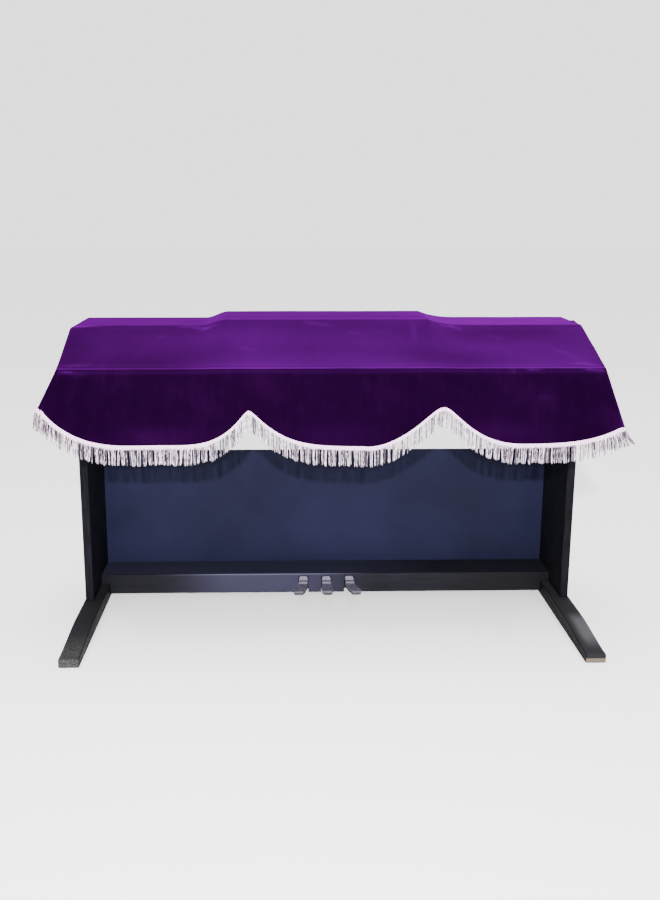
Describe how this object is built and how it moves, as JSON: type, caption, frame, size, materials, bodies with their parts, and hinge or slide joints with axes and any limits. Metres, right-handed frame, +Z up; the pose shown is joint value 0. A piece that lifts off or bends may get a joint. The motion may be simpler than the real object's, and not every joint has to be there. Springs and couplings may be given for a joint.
{
  "type": "keyboard dust cover on a digital piano",
  "caption": "Velvet dust cover with a scalloped, fringed hem and flared corners, draped over a plain console digital piano with sprung pedals.",
  "frame": {"origin": "on the floor, under the middle of the whole object's box", "axes": "+X along the keyboard to the player's right, +Y away from the player, +Z up"},
  "size_m": [1.5038, 0.5374, 0.8239],
  "materials": {
    "velvet": "short pile velvet, matt with a soft sheen where it turns",
    "fringe": "twisted white rayon",
    "black_board": "satin black foil on board",
    "backboard": "satin dark blue-grey foil on board",
    "pedal_metal": "plated, polished"
  },
  "bodies": {
    "piano_and_cover": {"cover": "velvet", "fringe_front": "fringe", "fringe_left": "fringe", "fringe_right": "fringe", "keyboard_case": "black_board", "keybed": "black_board", "music_rest": "black_board", "leg_left": "black_board", "leg_right": "black_board", "foot_left": "black_board", "foot_right": "black_board", "back_panel": "backboard", "pedal_bar": "black_board", "pedal_axle": "pedal_metal"},
    "left_pedal": {"pedal_left": "pedal_metal"},
    "middle_pedal": {"pedal_middle": "pedal_metal"},
    "right_pedal": {"pedal_right": "pedal_metal"}
  },
  "joints": [
    {"name": "left_pedal_press", "type": "hinge", "parent": "piano_and_cover", "child": "left_pedal", "pos_m": [-0.07215, 0.21729, 0.044], "axis": [1, 0, 0], "range_deg": [0, 7], "stiffness_Nm_per_rad": 15, "springref_deg": -4.58},
    {"name": "middle_pedal_press", "type": "hinge", "parent": "piano_and_cover", "child": "middle_pedal", "pos_m": [-0.00515, 0.21729, 0.044], "axis": [1, 0, 0], "range_deg": [0, 7], "stiffness_Nm_per_rad": 15, "springref_deg": -4.58},
    {"name": "right_pedal_press", "type": "hinge", "parent": "piano_and_cover", "child": "right_pedal", "pos_m": [0.06185, 0.21729, 0.044], "axis": [1, 0, 0], "range_deg": [0, 7], "stiffness_Nm_per_rad": 15, "springref_deg": -4.58}
  ]
}
